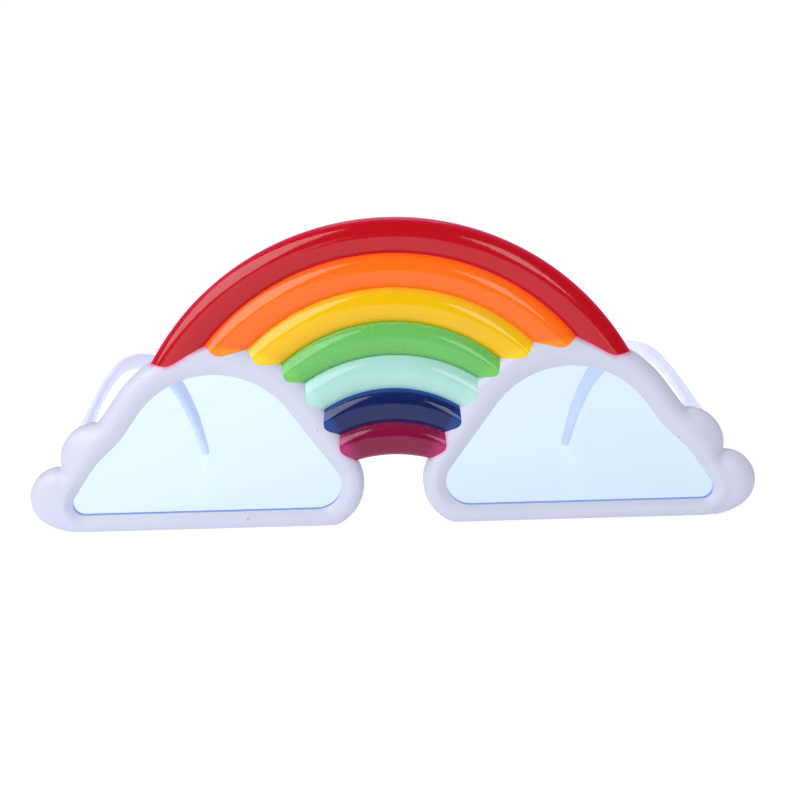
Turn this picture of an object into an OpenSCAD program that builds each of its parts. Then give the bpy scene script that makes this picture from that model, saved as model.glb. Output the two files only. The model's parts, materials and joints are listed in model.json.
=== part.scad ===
// Party glasses: two white cloud rims under a seven-band rainbow, with folding arms.
// Everything is drawn in the front's own pose first: x to the right, y to the back and
// z up along the front, with y = 0 on the face that the raised shapes stand on.
// The last step leans the glasses forward, as they stand on the clouds and the arm tips.

/* [Clouds] */
// Gap between the two clouds, where the nose goes
nose_gap = 15.4; // [14:0.2:20]
// Height of the rim under the lens opening
sill_h = 5.1; // [3.8:0.1:6]
// Width of the lens opening along the sill, between its sharp corners
lens_base_w = 79.3; // [77:0.1:84]
// Slope of the opening's side by the nose, in degrees
nose_flank_deg = 54; // [52:0.5:56]
// Slope of the opening's side by the temple, low down, in degrees
temple_flank_deg = 56; // [54:0.5:58]
// Slope of the opening's side between the two puffs, in degrees
waist_flank_deg = 42.5; // [40:0.5:45]
// Slope of the opening's side above the puffs, in degrees
brow_flank_deg = 54.5; // [53:0.5:56]
// Height above the sill where the low temple slope ends
bulge_h = 14; // [13:0.1:15.5]
// Height above the sill where the side turns up into the dome
waist_h = 20; // [19:0.1:21.5]
// Radius of the dome of the lens opening
dome_r = 23.9; // [22.8:0.1:25]
// Corner radius of the lens opening by the nose
nose_corner_r = 6.5; // [5:0.1:7.5]
// Corner radius of the lens opening by the temple
temple_corner_r = 3.1; // [2.6:0.1:3.6]
// Radius of the two soft turns in the temple side
waist_r = 20; // [12:1:24]
// Width of the rim over the dome
brow_rim_w = 7.2; // [6.4:0.1:8]
// Width of the rim where it leaves the dome on the side of the nose
inner_rim_w = 8.2; // [7.4:0.1:8.6]
// Width of the rim beside the nose
nose_rim_w = 6; // [5.2:0.1:6.6]
// Radius of the low puff at the outer corner
low_puff_r = 8.1; // [7.6:0.1:8.8]
// Radius of the heel, the wide arc by which the low puff runs into the sill
heel_r = 18; // [15:0.5:22]
// Radius of the high puff above it
high_puff_r = 9.3; // [8.8:0.1:10.2]
// Height of the puffs above the face
puff_dome = 3.3; // [2.4:0.1:4]
// Height of the rounded rim above the face
rim_dome = 2.9; // [2.4:0.1:3.2]
// Thickness of the rim behind the face
rim_t = 2.6; // [2.4:0.1:3.6]

/* [Rainbow] */
// Height of the arch above the sill's underside
arch_h = 81.4; // [80:0.2:84]
// Radius of the arch's outer edge
arch_r = 71; // [69:0.2:73]
// Width of one band on the crown
band_w = 8.9; // [8.7:0.05:9.1]
// Width of the outer bands where they come down to the clouds
side_w = 9.3; // [9:0.05:9.5]
// Radius of the upper edge of the mint band
mint_r = 40.8; // [38:0.2:42]
// Radius of the upper edge of the navy band
navy_r = 32; // [30:0.5:33]
// Radius of the upper edge of the magenta band
magenta_r = 31; // [29:0.5:32]
// Radius of the bridge's lower edge
bridge_r = 35; // [32:0.5:37]
// Height of the bands above the face
band_dome = 2.7; // [2.2:0.1:3.2]
// How far the rounded end of a band reaches past its corners
lobe_l = 1.8; // [1:0.1:2.4]
// Thickness of the plate behind the bands
plate_t = 2.2; // [1.6:0.1:2.3]

/* [Lenses] */
// Thickness of the lens sheet
lens_t = 1.2; // [0.8:0.1:1.4]
// Depth of the groove that holds the lens
groove_d = 1; // [0.7:0.1:1.5]
// Distance from the face to the groove
groove_y = -1.2; // [-1.3:0.1:-0.8]
// How far the opening's wall leans back behind the lens, up to the rim's back
back_draft = 0.9; // [0.5:0.1:1.2]
// Clearance all round the lens in its groove
lens_clear = 0.05; // [0.03:0.01:0.1]

/* [Arms] */
// Length of an arm from the face to the end of its hook
arm_l = 134; // [125:1:145]
// Height of the arms above the sill's underside
arm_z = 25.6; // [25.2:0.1:26]
// How far an arm bends in from the hinge to the end of its hook
tip_in = 22; // [18:0.5:24]
// Height of the arm's section along its straight run
arm_h = 3.9; // [3.2:0.1:4.6]
// Thickness of the arm's section along its straight run
arm_t = 2.4; // [2.2:0.1:3]
// Height of the arm's block at the hinge
block_h = 5.6; // [5.2:0.1:6]
// Thickness of the arm's block at the hinge
block_t = 2.8; // [2.6:0.1:3.2]

/* [Hinges] */
// Outer radius of a hinge knuckle
knuckle_r = 1.4; // [1.3:0.05:1.6]
// Radius of the hole through the knuckles
pin_hole_r = 0.65; // [0.6:0.05:0.8]
// Radial clearance between the screw and that hole
pin_clear = 0.05; // [0.02:0.01:0.08]
// Height of the knuckle on the arm
mid_knuckle_h = 1.6; // [1.5:0.1:1.8]
// Height of each of the two knuckles on the front
end_knuckle_h = 1.1; // [1:0.1:1.3]
// Gap above and below the arm's knuckle
knuckle_gap = 0.1; // [0.05:0.05:0.15]
// Thickness of the metal leaves
leaf_t = 0.8; // [0.6:0.1:0.9]
// Length of the leaf in the front, from the hinge's axis
front_leaf_l = 5; // [4:0.5:6]
// Length of the leaf in the arm, from the hinge's axis
arm_leaf_l = 7; // [5:0.5:8]
// Gap between the arm's end and the front when the arm is open
stop_gap = 0.15; // [0.1:0.05:0.3]
// Gap between the front's knuckles and the arm, which turns round them
turn_gap = 0.25; // [0.2:0.05:0.4]

/* [Stance] */
// How far the front leans forward when the glasses stand, in degrees
lean = 7; // [5:0.5:9]
// Depth of the flat cut under the clouds and the arm tips
foot_cut = 0.3; // [0.2:0.05:0.4]

/* [Hidden] */
$fn = 96;

// Small helpers
eps = 0.01;
far = 400;
function mix(a, b, t) = a + (b - a) * t;
function unit(v) = v / norm(v);
function dir(a) = [cos(a), sin(a)];
function left_of(v) = [-v.y, v.x];

// Sharp outline of the right lens opening, from which the round one is made.
// Each corner is [point, radius, rim width where its arc starts, rim width where it ends].
nose_corner_x = nose_gap / 2 + nose_rim_w - nose_corner_r * (1 / tan(nose_flank_deg / 2) - 1);
nose_low = [nose_corner_x, sill_h];
temple_low = [nose_corner_x + lens_base_w, sill_h];
bulge = temple_low + bulge_h * [-1 / tan(temple_flank_deg), 1];
waist = bulge + (waist_h - bulge_h) * [-1 / tan(waist_flank_deg), 1];
nose_slope = tan(nose_flank_deg);
brow_slope = tan(brow_flank_deg);
peak_x = (waist.y + brow_slope * waist.x - nose_low.y + nose_slope * nose_low.x)
    / (nose_slope + brow_slope);
peak = [peak_x, nose_low.y + nose_slope * (peak_x - nose_low.x)];
corners = [
    [nose_low, nose_corner_r, nose_rim_w, nose_rim_w],
    [temple_low, temple_corner_r, sill_h, sill_h],
    [bulge, waist_r, brow_rim_w, brow_rim_w],
    [waist, waist_r, brow_rim_w, brow_rim_w],
    [peak, dome_r, brow_rim_w, inner_rim_w]
];
corner_count = len(corners);
arc_step_deg = [13, 7, 7, 6, 4.5];
line_step = 7;

// The arc at corner i: [centre, first angle of its outward normal, turn, radius, 1 or -1 for
// bulging out or in, rim width at its start, rim width at its end]
function arc_at(i) = let (
    c = corners[i],
    in_dir = unit(c[0] - corners[(i + corner_count - 1) % corner_count][0]),
    out_dir = unit(corners[(i + 1) % corner_count][0] - c[0]),
    turn = asin(in_dir.x * out_dir.y - in_dir.y * out_dir.x),
    bend = in_dir * out_dir < 0 ? 180 - turn : turn,
    side = bend < 0 ? -1 : 1,
    inset = c[1] * tan(abs(bend) / 2),
    centre = c[0] - inset * in_dir + side * c[1] * left_of(in_dir)
) [centre, atan2(-in_dir.x, in_dir.y), bend, c[1], side, c[2], c[3]];
arcs = [for (i = [0:corner_count - 1]) arc_at(i)];
function arc_point(a, angle) = a[0] + a[4] * a[3] * dir(angle);

// Stations round the opening: [point, outward normal, rim width]
function arc_stations(i) = let (
    a = arcs[i],
    steps = max(2, ceil(abs(a[2]) / arc_step_deg[i]))
) [for (k = [0:steps]) let (angle = a[1] + a[2] * k / steps)
    [arc_point(a, angle), dir(angle), mix(a[5], a[6], k / steps)]];
function line_stations(from, to) = let (
    steps = max(1, ceil(norm(to[0] - from[0]) / line_step))
) [for (k = [1:1:steps - 1])
    [mix(from[0], to[0], k / steps), from[1], mix(from[2], to[2], k / steps)]];
arc_runs = [for (i = [0:corner_count - 1]) arc_stations(i)];
stations = [for (i = [0:corner_count - 1]) each concat(
    arc_runs[i],
    line_stations(arc_runs[i][len(arc_runs[i]) - 1], arc_runs[(i + 1) % corner_count][0])
)];

// The two puffs at the cloud's outer corner, as circles placed from the opening, and the
// low one's heel, which touches the circle from outside and the floor from above
low_puff = arcs[1][0] + [6.25, 1.3];
high_puff = bulge + [0.2, 0.75];
heel_dx = sqrt(pow(heel_r - low_puff_r, 2) - pow(heel_r - low_puff.y, 2));
heel = [low_puff.x - heel_dx, heel_r];
function over_heel(rel) = rel.y < 0 && heel_dx * rel.y < (low_puff.y - heel_r) * rel.x;
function exit_of(s, centre, r) = let (
    rel = s[0] - centre, b = rel * s[1], inside = b * b - rel * rel + r * r
) inside < 0 ? 0 : -b + sqrt(inside);
function exit_of_low(s) = let (d = exit_of(s, low_puff, low_puff_r))
    over_heel(s[0] + d * s[1] - low_puff) ? exit_of(s, heel, heel_r) : d;
function to_floor(s) = s[1].y < -eps ? s[0].y / -s[1].y : far;
function rim_reach(s) = min(
    to_floor(s),
    max(s[2], exit_of_low(s), exit_of(s, high_puff, high_puff_r))
);

// Height of the cloud's face at distance d from the opening. The face slopes up from the
// opening to the rim's crest, and the rim rounds off at its outer side.
rim_crest = 0.45;
rim_drop = 0.35;
function slope_up(t) = 1 - rim_drop * pow(max(0, 1 - t / rim_crest), 1.3);
heel_share = 1.3;
function low_r(p) = let (rel = p - low_puff)
    over_heel(rel) ? min(exit_of([low_puff, unit(rel)], heel, heel_r), heel_share * low_puff_r)
    : low_puff_r;
function bow(x) = sqrt(max(0, 1 - x * x));
function cap(p, centre, r) = puff_dome * bow(min(1, norm(p - centre) / r));
function soft_max(list, power) =
    pow([for (v = list) pow(v, power)] * [for (v = list) 1], 1 / power);
function cloud_rise(p, d, tube_w) = slope_up(d / tube_w) * soft_max([
    rim_dome * bow(min(1, max(0, d / tube_w - rim_crest) / (1 - rim_crest))),
    cap(p, low_puff, low_r(p)),
    cap(p, high_puff, high_puff_r)
], 5);

// One closed section of the rim, from the back over the face to the groove
face_steps = 9;
groove_back_y = groove_y + lens_t + 2 * lens_clear;
function rim_section(s) = let (
    p = s[0], n = s[1], w = rim_reach(s), tube_w = min(w, s[2]),
    at = function (d, y) [p.x + d * n.x, y, p.y + d * n.y]
) concat(
    [at(w, rim_t)],
    [for (k = [face_steps:-1:0]) let (d = w * (1 - cos(180 * k / face_steps)) / 2)
        at(d, -cloud_rise(p + d * n, d, tube_w))],
    [at(0, groove_y), at(groove_d, groove_y), at(groove_d, groove_back_y), at(0, groove_back_y)],
    [at(back_draft, rim_t)]
);

// Joins rings of equal length into one closed ring of rings, or a capped tube
module loft(rings, closed = false) {
    count = len(rings);
    size = len(rings[0]);
    quads = [for (i = [0:count - (closed ? 1 : 2)], j = [0:size - 1]) let (
        a = i * size + j,
        b = i * size + (j + 1) % size,
        c = (i + 1) % count * size + (j + 1) % size,
        d = (i + 1) % count * size + j
    ) each [[a, b, c], [a, c, d]]];
    caps = closed ? [] : [
        [for (j = [size - 1:-1:0]) j],
        [for (j = [0:size - 1]) (count - 1) * size + j]
    ];
    polyhedron(points = [for (r = rings) each r], faces = concat(quads, caps), convexity = 10);
}

module cloud_rim() {
    loft([for (s = stations) rim_section(s)], closed = true);
}

// The rainbow's eight edges, from the outside in: [radius, height of the centre]
edge_r = concat(
    [for (i = [0:3]) arch_r - i * side_w],
    [mint_r, navy_r, magenta_r, bridge_r]
);
function edge_circle(i) = [edge_r[i], arch_h - i * band_w - edge_r[i]];

// Where an edge meets the cloud: the least turn from the crown that reaches the rim's outline
nose_arc = arcs[0];
rim_line = [for (s = stations) s[0] + s[2] * s[1]];
function edge_gap(circle, p) = norm(p - [0, circle[1]]) - circle[0];
function meet_cloud(circle) = min([for (k = [0:len(rim_line) - 1]) let (
    a = rim_line[k],
    b = rim_line[(k + 1) % len(rim_line)],
    gap_a = edge_gap(circle, a),
    gap_b = edge_gap(circle, b),
    p = mix(a, b, gap_a / (gap_a - gap_b))
) if (gap_a * gap_b < 0) atan2(p.x, p.y - circle[1])]);

// One band: its face runs from its lower edge (across = -1) to its upper edge (+1)
band_steps = 8;
seat_gap = 0.12;
function band_rise(across) = band_dome * pow(1 - pow(abs(across), 2.4), 1 / 1.7);
function end_rise(left) = mix(0.45, 1, bow(max(0, 1 - left / 3)));
function band_rings(i) = let (
    low = edge_circle(i + 1),
    high = edge_circle(i),
    runs = [for (k = [0:band_steps]) let (
        across = -cos(180 * k / band_steps),
        circle = mix(low, high, (1 + across) / 2),
        lobe = lobe_l * (1 - bow(across)) + seat_gap
    ) [across, circle, meet_cloud(circle) - lobe / circle[0] * 180 / PI]],
    length = runs[band_steps / 2][1][0] * runs[band_steps / 2][2] * PI / 180,
    half_steps = ceil(length / 6) + 2
) [for (k = [-half_steps:half_steps]) let (share = sin(90 * k / half_steps))
    [for (r = runs) let (turn = r[2] * mix(k / half_steps, share, 0.5))
        [
            r[1][0] * sin(turn),
            -band_rise(r[0]) * end_rise(length * (1 - abs(mix(k / half_steps, share, 0.5)))),
            r[1][1] + r[1][0] * cos(turn)
        ]]];

module band(i, paint) {
    color(paint) stand() loft(band_rings(i));
}

// Plate behind the bands: the arch less the bridge's curve and the lens openings
module mid_rim_outline() {
    polygon([for (s = stations) s[0] + s[1] * rim_reach(s) / 2]);
}
module arch_plate() {
    top = edge_circle(0);
    low = edge_circle(7);
    translate([0, plate_t, 0]) rotate([90, 0, 0]) linear_extrude(plate_t) difference() {
        intersection() {
            translate([0, top[1]]) circle(top[0]);
            translate([-far / 2, 2 * sill_h]) square(far);
        }
        translate([0, low[1]]) circle(low[0]);
        mid_rim_outline();
        mirror([1, 0]) mid_rim_outline();
    }
}

// Pads behind the rims beside the nose, rounded where they touch it
pad_r = 1.6;
pad_reach = 3.4;
pad_turns = [198, 172, 146];
function pad_place(turn) = nose_arc[0] + (nose_arc[3] + nose_rim_w / 2) * dir(turn);
module nose_pad() {
    for (k = [0, 1]) hull() for (turn = [pad_turns[k], pad_turns[k + 1]]) {
        root = pad_place(turn);
        top = pad_place(mix(turn, pad_turns[1], 0.4));
        translate([root.x, rim_t - pad_r, root.y]) sphere(pad_r, $fn = 16);
        translate([top.x, rim_t + pad_reach - pad_r, top.y]) sphere(pad_r, $fn = 16);
    }
}

// Hinge places: the axis runs up at (hinge_x, hinge_y), inboard of the arm's inner face.
// The front's web is the part of the hinge from its leaf up to its two knuckles.
arm_x = high_puff.x + 3.4;
hinge_h = mid_knuckle_h + 2 * (end_knuckle_h + knuckle_gap);
boss_t = 1;
boss_y = rim_t + boss_t;
arm_start_y = boss_y + stop_gap;
inner_x = arm_x - block_t / 2;
knuckle_sink = 0.15;
hinge_x = inner_x - knuckle_r + knuckle_sink;
hinge_y = boss_y + knuckle_r + 2 * knuckle_sink;
web_x = knuckle_r / 2;

// Raised seat on the back of the high puff, for the hinge and the arm's end
boss_edge = 0.4;
boss_round = 1.2;
boss_sink = (rim_t - groove_back_y) / 2;
boss_x = [hinge_x - front_leaf_l - boss_edge, arm_x + block_t / 2 - 2 * boss_edge];
boss_z = [arm_z - hinge_h / 2 - boss_edge, arm_z + hinge_h / 2 + boss_edge];
module hinge_boss() {
    hull() for (x = boss_x + [boss_round, -boss_round], z = boss_z + [boss_round, -boss_round])
        translate([x, boss_y, z]) rotate([90, 0, 0])
            cylinder(boss_t + boss_sink, r = boss_round, $fn = 24);
}

// Flat plate that lies sunk in the back of the boss, and the seat cut for it
module front_leaf(grow = 0, over = 0) {
    translate([hinge_x - front_leaf_l - grow, boss_y - leaf_t - grow, arm_z - hinge_h / 2 - grow])
        cube([front_leaf_l + web_x + 2 * grow, leaf_t + grow + over, hinge_h + 2 * grow]);
}

module mirrored_pair() {
    children();
    mirror([1, 0, 0]) children();
}

// Height of the hook's end, which lets it stand on the table beside the clouds
tip_r = 1.4;
tip_z = (tip_r + foot_cut / 2 - arm_l * sin(lean)) / cos(lean);

// Leans the glasses forward and puts the middle of their box on the origin
module stand() {
    translate([0, -(y_front + y_back) / 2, -foot_cut]) rotate([lean, 0, 0]) children();
}
module floor_cut() {
    translate([-far / 2, -far / 2, -far]) cube(far);
}

module front_frame() {
    color("white") difference() {
        stand() difference() {
            union() {
                mirrored_pair() cloud_rim();
                arch_plate();
                mirrored_pair() nose_pad();
                mirrored_pair() hinge_boss();
            }
            mirrored_pair() front_leaf(lens_clear, 1);
        }
        floor_cut();
    }
}

module lens(side) {
    color("lightcyan", 0.4) stand() mirror([side < 0 ? 1 : 0, 0, 0])
        translate([0, groove_back_y - lens_clear, 0]) rotate([90, 0, 0]) linear_extrude(lens_t)
            polygon([for (s = stations) s[0] + (groove_d - lens_clear) * s[1]]);
}

// Puts a hinge piece, drawn about its own axis, at the hinge of one side
module at_hinge(side) {
    stand() mirror([side < 0 ? 1 : 0, 0, 0]) translate([hinge_x, hinge_y, arm_z]) children();
}
module pin_hole() {
    translate([0, 0, -hinge_h]) cylinder(2 * hinge_h, r = pin_hole_r, $fn = 48);
}

module hinge_front(side) {
    web_l = hinge_y - boss_y + leaf_t / 2;
    color("silver") at_hinge(side) difference() {
        union() {
            translate([-hinge_x, -hinge_y, -arm_z]) front_leaf();
            for (low = [-hinge_h / 2, mid_knuckle_h / 2 + knuckle_gap]) translate([0, 0, low]) {
                cylinder(end_knuckle_h, r = knuckle_r, $fn = 48);
                translate([-knuckle_r, -web_l, 0]) cube([knuckle_r + web_x, web_l, end_knuckle_h]);
            }
        }
        pin_hole();
    }
}

module hinge_temple(side) {
    color("silver") at_hinge(side) difference() {
        translate([0, 0, -mid_knuckle_h / 2]) union() {
            cylinder(mid_knuckle_h, r = knuckle_r, $fn = 48);
            cube([inner_x - hinge_x, knuckle_r, mid_knuckle_h]);
            translate([inner_x - hinge_x, 0, 0]) cube([leaf_t, arm_leaf_l, mid_knuckle_h]);
        }
        pin_hole();
    }
}

screw_head_r = 1.15;
screw_head_h = 0.6;
slot_w = 0.3;
module hinge_screw(side) {
    color("gray") at_hinge(side) difference() {
        union() {
            translate([0, 0, -hinge_h / 2]) cylinder(hinge_h, r = pin_hole_r - pin_clear, $fn = 48);
            translate([0, 0, hinge_h / 2]) cylinder(screw_head_h, r = screw_head_r, $fn = 48);
        }
        translate([-screw_head_r, -slot_w / 2, hinge_h / 2 + screw_head_h / 2])
            cube([2 * screw_head_r, slot_w, screw_head_h]);
    }
}

// The arm's line: [share of its length, share of the bend in, share of the drop, height, thickness]
arm_drop = arm_z - tip_z;
arm_line = [
    [0, 0, 0, block_h, block_t],
    [0.07, 0, 0, block_h - 0.4, block_t],
    [0.16, -0.01, -0.003, arm_h + 0.5, arm_t + 0.1],
    [0.42, 0.02, -0.015, arm_h, arm_t],
    [0.62, 0.15, -0.01, arm_h + 0.5, arm_t + 0.2],
    [0.76, 0.41, 0.09, arm_h + 1.6, arm_t + 0.4],
    [0.87, 0.69, 0.35, arm_h + 1.2, arm_t + 0.4],
    [0.95, 0.88, 0.68, arm_h + 0.3, arm_t + 0.2],
    [1, 1, 1, arm_h - 1.1, arm_t - 0.1]
];
function arm_knot(k) = let (a = arm_line[k]) [
    arm_x - a[1] * tip_in,
    mix(arm_start_y, arm_l, a[0]),
    arm_z - a[2] * arm_drop,
    a[3],
    a[4]
];
knots = [for (k = [0:len(arm_line) - 1]) arm_knot(k)];
function chord(k) = norm([for (j = [0:2]) knots[k + 1][j] - knots[k][j]]);
function knot_slope(k) = k == 0 ? [0, 1, 0, 0, 0]
    : k == len(knots) - 1 ? (knots[k] - knots[k - 1]) / chord(k - 1)
    : (knots[k + 1] - knots[k - 1]) / (chord(k) + chord(k - 1));
function curve(a, b, slope_a, slope_b, size, t) = let (u = 1 - t)
    a * (1 + 2 * t) * u * u + b * (3 - 2 * t) * t * t
    + size * (slope_a * t * u * u - slope_b * t * t * u);
curve_steps = 4;
arm_rows = concat(
    [for (k = [0:len(knots) - 2], i = [0:curve_steps - 1])
        curve(knots[k], knots[k + 1], knot_slope(k), knot_slope(k + 1), chord(k), i / curve_steps)],
    [knots[len(knots) - 1]]
);
row_count = len(arm_rows);
function place(row) = [row[0], row[1], row[2]];
function run_at(i) =
    unit(place(arm_rows[min(row_count - 1, i + 1)]) - place(arm_rows[max(0, i - 1)]));

// A rounded oblong section across the arm, shrunk at the round end of the hook
section_sides = 12;
function squircle(a) = let (p = 0.7)
    [sign(cos(a)) * pow(abs(cos(a)), p), sign(sin(a)) * pow(abs(sin(a)), p)];
function arm_ring(centre, run, height, thick) = let (
    across = unit([run.y, -run.x, 0]),
    up = cross(across, run)
) [for (k = [0:section_sides - 1]) let (q = squircle(360 * (k + 0.5) / section_sides))
    centre + across * q.x * thick / 2 + up * q.y * height / 2];
arm_end = arm_rows[row_count - 1];
end_run = run_at(row_count - 1);
arm_rings = concat(
    [for (i = [0:row_count - 1]) let (r = arm_rows[i])
        arm_ring(place(r), i == 0 ? [0, 1, 0] : run_at(i), r[3], r[4])],
    [for (a = [30, 60, 80]) arm_ring(
        place(arm_end) + end_run * tip_r * sin(a), end_run, arm_end[3] * cos(a), arm_end[4] * cos(a)
    )]
);

// Front and back ends of the glasses as they stand: the red band's crown and the hooks' ends
y_front = -(arch_h - band_w / 2) * sin(lean)
    - norm([band_dome * cos(lean), band_w / 2 * sin(lean)]);
y_back = max([for (ring = arm_rings, p = ring) p.y * cos(lean) - p.z * sin(lean)]);

// The arm, less a pocket for its leaf and room for the front's knuckles and screw
module temple(side) {
    color("whitesmoke") difference() {
        stand() mirror([side < 0 ? 1 : 0, 0, 0]) difference() {
            loft(arm_rings);
            translate([inner_x - leaf_t, hinge_y, arm_z - mid_knuckle_h / 2 - lens_clear])
                cube([2 * leaf_t + lens_clear, arm_leaf_l + lens_clear, mid_knuckle_h + 2 * lens_clear]);
            translate([hinge_x, hinge_y, arm_z - block_h])
                cylinder(2 * block_h, r = knuckle_r + turn_gap, $fn = 48);
        }
        floor_cut();
    }
}

front_frame();
band(0, "crimson");  // rainbow_red
band(1, "darkorange");  // rainbow_orange
band(2, "gold");  // rainbow_yellow
band(3, "mediumseagreen");  // rainbow_green
band(4, "aquamarine");  // rainbow_mint
band(5, "midnightblue");  // rainbow_navy
band(6, "mediumvioletred");  // rainbow_magenta
lens(-1);  // lens_left
lens(1);  // lens_right
hinge_front(-1);  // hinge_front_left
hinge_front(1);  // hinge_front_right
hinge_screw(-1);  // hinge_screw_left
hinge_screw(1);  // hinge_screw_right
temple(-1);  // temple_left
temple(1);  // temple_right
hinge_temple(-1);  // hinge_temple_left
hinge_temple(1);  // hinge_temple_right
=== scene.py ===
# %% [markdown]
# # Party glasses: a rainbow over two clouds
# The object is a pair of plastic party glasses. Its front is one white moulding: two cloud
# rims joined by an arch of seven raised bands, each sprayed in its own enamel. Two pale blue
# sheets are the lenses, and two slim white arms fold on small metal hinges.
#
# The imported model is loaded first. It fixes every size and place, and the pieces made here
# dress it: smooth shells replace the faceted ones, and every surface gets a real finish.

# %% Load the fixed model
import json
import math

import bpy
import numpy as np
from mathutils import Matrix, Vector


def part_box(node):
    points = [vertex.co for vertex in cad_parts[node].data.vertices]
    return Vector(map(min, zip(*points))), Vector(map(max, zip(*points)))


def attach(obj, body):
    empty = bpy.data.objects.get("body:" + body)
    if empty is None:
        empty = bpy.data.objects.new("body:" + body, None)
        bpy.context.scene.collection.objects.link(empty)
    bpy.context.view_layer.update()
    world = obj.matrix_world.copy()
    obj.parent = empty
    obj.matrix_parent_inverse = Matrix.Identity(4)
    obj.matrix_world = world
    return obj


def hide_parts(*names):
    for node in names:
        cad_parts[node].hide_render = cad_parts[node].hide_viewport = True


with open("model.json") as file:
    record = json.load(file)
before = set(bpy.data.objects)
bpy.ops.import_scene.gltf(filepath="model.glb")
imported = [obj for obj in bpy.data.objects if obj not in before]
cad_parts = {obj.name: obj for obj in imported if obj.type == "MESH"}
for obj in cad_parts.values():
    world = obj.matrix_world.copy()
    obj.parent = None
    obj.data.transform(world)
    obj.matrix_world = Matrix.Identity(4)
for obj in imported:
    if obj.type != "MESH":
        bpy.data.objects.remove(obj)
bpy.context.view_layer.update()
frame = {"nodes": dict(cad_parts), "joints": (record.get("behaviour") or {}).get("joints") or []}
nodes = frame["nodes"]

# %% [markdown]
# ## Where the front stands
# The shapes are easiest to draw on the front itself: x to the right, y to the back, z up along
# the front, in millimetres. The real front then leans forward on the table. One hinge of the
# model says how much: its axis gives the lean, and its place gives the shift.

# %% From the front's own millimetres to the model's metres
MM = 0.001
hinge = next(j for j in frame["joints"] if j["name"] == "fold_right")
lean = math.atan2(-hinge["axis"][1], hinge["axis"][2])
hinge_x = hinge["pos_m"][0] / MM
hinge_y = 5.3
hinge_z = 25.6
shift_y = hinge["pos_m"][1] / MM - (hinge_y * math.cos(lean) - hinge_z * math.sin(lean))
shift_z = hinge["pos_m"][2] / MM - (hinge_y * math.sin(lean) + hinge_z * math.cos(lean))


def stand(points):
    """Leans points forward and puts them on the table, in metres."""
    x, y, z = np.asarray(points, float).T
    back = y * math.cos(lean) - z * math.sin(lean) + shift_y
    up = y * math.sin(lean) + z * math.cos(lean) + shift_z
    return np.stack([x, back, np.maximum(up, 0)], 1) * MM


print("lean:", round(math.degrees(lean), 2), "degrees, shift:", round(shift_y, 2), round(shift_z, 2))

# %% [markdown]
# ## Small helpers
# Every shape below is a list of points and a list of faces, which is all that a mesh is. A
# loft joins rings of points with quads. If its faces point inwards, its signed volume is
# negative, and the faces are turned round.

# %% Shapes as points and faces
def loft(rings, closed=False):
    """Quads between rings of points. Unless closed, each end is zipped shut side to side."""
    rings = np.asarray(rings, float)
    count, size = rings.shape[:2]
    faces = []
    for i in range(count if closed else count - 1):
        low, high = i * size, (i + 1) % count * size
        for j in range(size):
            k = (j + 1) % size
            faces.append((low + j, low + k, high + k, high + j))
    if not closed:
        last = (count - 1) * size
        for j in range(size // 2 - 1):
            near, far = (j, j + 1), (size - 2 - j, size - 1 - j)
            faces.append((near[1], near[0], far[1], far[0]))
            faces.append((last + near[0], last + near[1], last + far[0], last + far[1]))
    return outward(rings.reshape(-1, 3), faces)


def outward(points, faces):
    """The same closed shell with its faces pointing out."""
    volume = 0
    for face in faces:
        a = points[face[0]]
        for j in range(1, len(face) - 1):
            volume += a @ np.cross(points[face[j]], points[face[j + 1]])
    return points, faces if volume > 0 else [face[::-1] for face in faces]


def mirrored(shell):
    """The shell's twin on the other side of the nose."""
    points, faces = shell
    return points * [-1, 1, 1], [face[::-1] for face in faces]


def joined(shells):
    """Several shells as one list of points and faces."""
    points, faces, start = [], [], 0
    for shell_points, shell_faces in shells:
        points.append(shell_points)
        faces += [tuple(i + start for i in face) for face in shell_faces]
        start += len(shell_points)
    return np.concatenate(points), faces


def bow(x):
    """A quarter circle's height: 1 at x = 0, 0 at x = 1."""
    return np.sqrt(np.clip(1 - np.square(x), 0, 1))


def mix(a, b, t):
    """The value between a and b: a at t = 0, b at t = 1."""
    return a + (b - a) * t


print("a quarter circle is", round(float(bow(0.5)), 3), "high half way out")

# %% [markdown]
# A shell becomes an object in one place, so that every piece stands in the same way: its own
# origin stays at the middle of the scene, and its place is in its mesh.

# %% From a shell to a piece
def new_piece(name, shell, material, sharp_degrees=50):
    """A mesh object from a shell in millimetres, standing in its place."""
    points, faces = shell
    mesh = bpy.data.meshes.new(name)
    mesh.from_pydata(stand(points).tolist(), [], faces)
    mesh.materials.append(material)
    mesh.shade_smooth()
    mesh.set_sharp_from_angle(angle=math.radians(sharp_degrees))
    piece = bpy.data.objects.new(name, mesh)
    bpy.context.scene.collection.objects.link(piece)
    return piece


def give(mesh, name, values):
    """Stores one number for each point of a mesh, for a material or a tree to read."""
    attribute = mesh.attributes.new(name, "FLOAT", "POINT")
    attribute.data.foreach_set("value", np.asarray(values, np.float32))


print("the front's own origin stands at, m:", [round(v, 4) for v in stand([(0, 0, 0)])[0].tolist()])

# %% [markdown]
# Colours are written as on a colour picker. Blender's shaders want linear light, so one
# function turns them. Another adds a node with its settings and its links, for shader trees
# and geometry trees alike.

# %% Colours and nodes
def linear(hex_colour):
    """An sRGB hex colour as linear red, green, blue and alpha."""
    channels = [int(hex_colour[i:i + 2], 16) / 255 for i in (1, 3, 5)]
    return [c / 12.92 if c <= 0.04045 else ((c + 0.055) / 1.055) ** 2.4 for c in channels] + [1]


def add(tree, kind, inputs=None, **settings):
    """Adds a node. An input is a value, a socket to link from, or a list of such sockets."""
    node = tree.nodes.new(kind)
    for name, value in settings.items():
        setattr(node, name, value)
    for name, value in (inputs or {}).items():
        sources = value if isinstance(value, list) else [value]
        if isinstance(sources[0], bpy.types.NodeSocket):
            for source in sources:
                tree.links.new(source, node.inputs[name])
        else:
            node.inputs[name].default_value = value
    return node


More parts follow.
